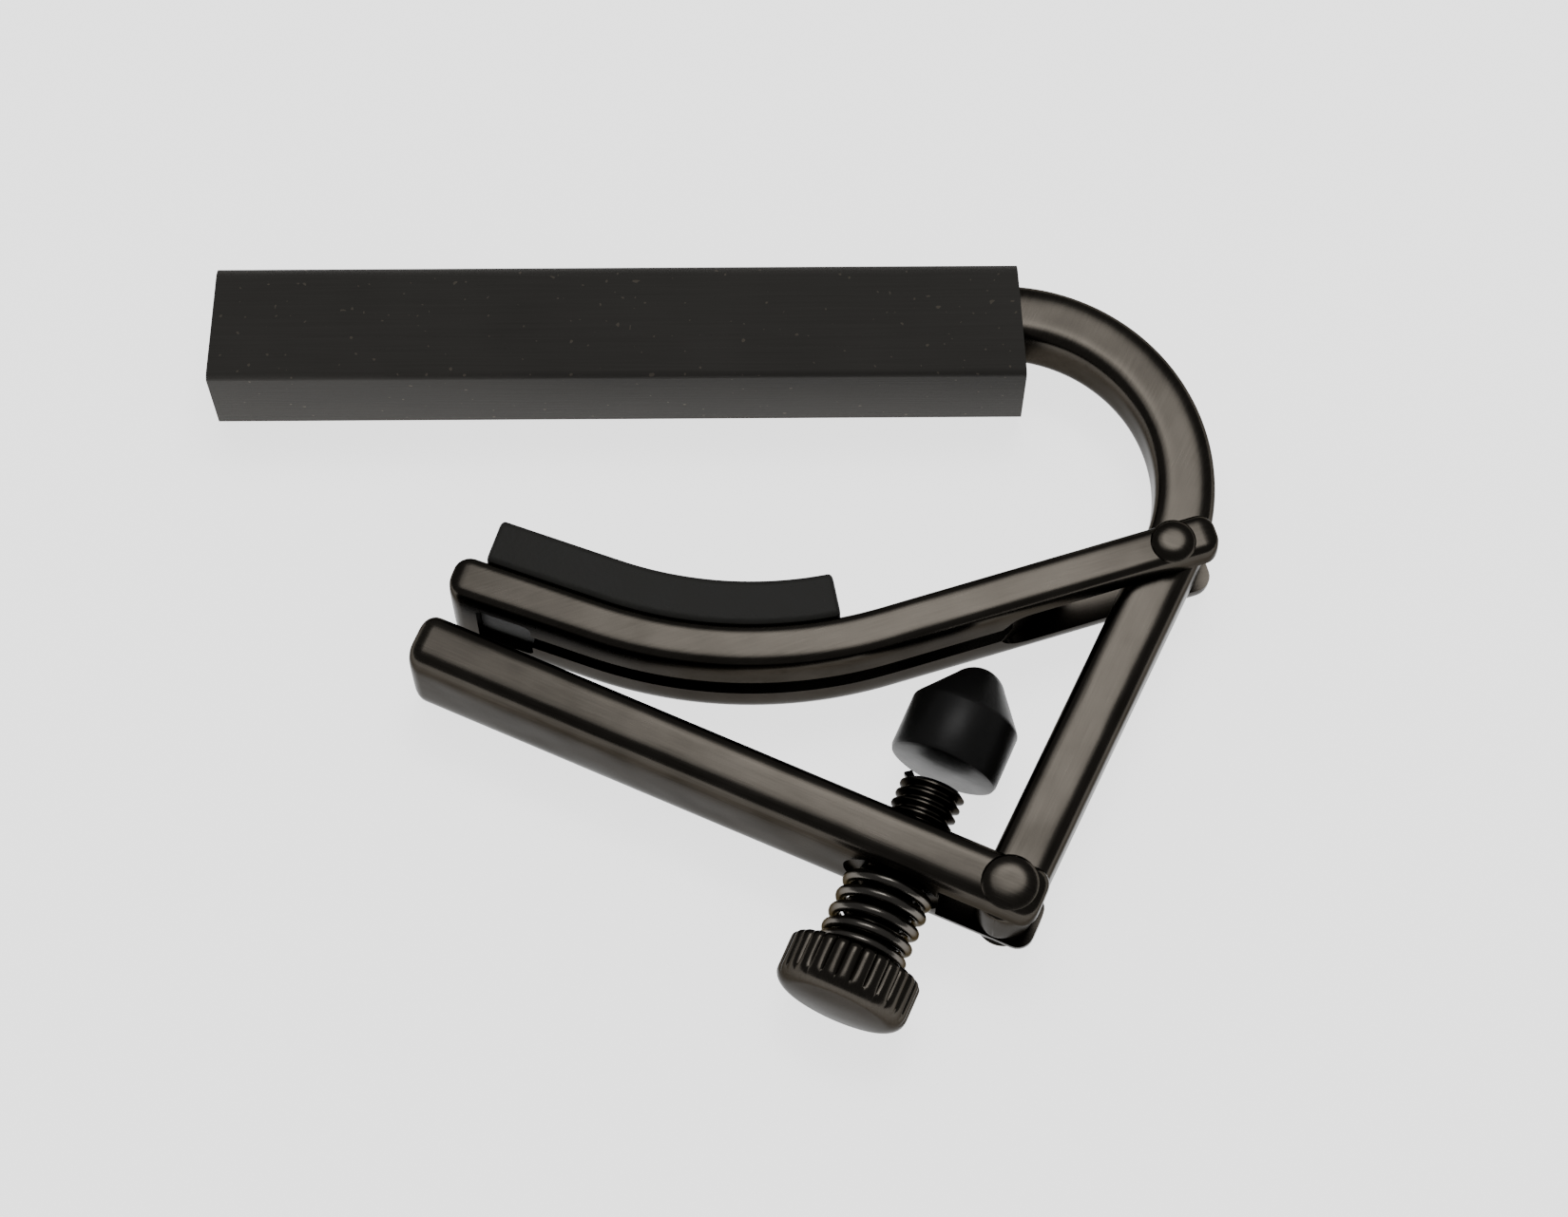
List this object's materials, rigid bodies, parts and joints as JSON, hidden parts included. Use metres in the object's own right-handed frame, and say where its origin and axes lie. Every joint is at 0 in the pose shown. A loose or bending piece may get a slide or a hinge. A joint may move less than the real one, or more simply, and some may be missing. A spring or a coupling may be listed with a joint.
{
  "type": "guitar capo",
  "caption": "Lever-action guitar capo: hooked bar with a rubber sleeve, padded curved clamp arm, and an over-centre lever with an adjusting thumbscrew.",
  "frame": {"origin": "centre of the underside of the bounding box; the capo lies on its side, on the rivet heads", "axes": "+X along the sleeve towards the hook, +Y from the knob towards the sleeve, +Z out of the flat side"},
  "size_m": [0.0738, 0.0574, 0.0105],
  "materials": {
    "smoked_brass": "satin black-nickel plating",
    "rubber": "matte extruded rubber",
    "pad_rubber": "matte moulded rubber",
    "spring_steel": "polished wire",
    "black_plastic": "semi-gloss"
  },
  "bodies": {
    "frame": {"main_bar": "smoked_brass", "string_sleeve": "rubber"},
    "arm": {"clamp_arm": "smoked_brass", "neck_pad": "pad_rubber", "arm_rivet": "smoked_brass"},
    "lever": {"lever": "smoked_brass", "lever_rivet": "smoked_brass", "friction_spring": "spring_steel"},
    "bumper": {"bumper_cap": "black_plastic"},
    "screw": {"adjusting_screw": "smoked_brass", "thumb_knob": "smoked_brass"}
  },
  "joints": [
    {"name": "lever_swing", "type": "hinge", "parent": "frame", "child": "lever", "pos_m": [0.0209, -0.01912, 0.00525], "axis": [0, 0, 1], "range_deg": [0, 150]},
    {"name": "arm_swing", "type": "hinge", "parent": "frame", "child": "arm", "pos_m": [0.03328, 0.00626, 0.00525], "axis": [0, 0, 1], "range_deg": [0, 21]},
    {"name": "screw_travel", "type": "slide", "parent": "lever", "child": "bumper", "axis": [0.4083, 0.9128, 0], "range_m": [-0.0045, 0.0005], "deforming": ["friction_spring"]},
    {"name": "screw_spin", "type": "hinge", "parent": "bumper", "child": "screw", "pos_m": [0.0136, -0.01585, 0.00525], "axis": [0.4083, 0.9128, 0], "range_deg": [-2035, 225]}
  ],
  "couplings": [
    {"joint": "arm_swing", "follows": "lever_swing", "ratio": 0.14},
    {"joint": "screw_travel", "follows": "screw_spin", "m_per_rad": 0.00012637}
  ]
}
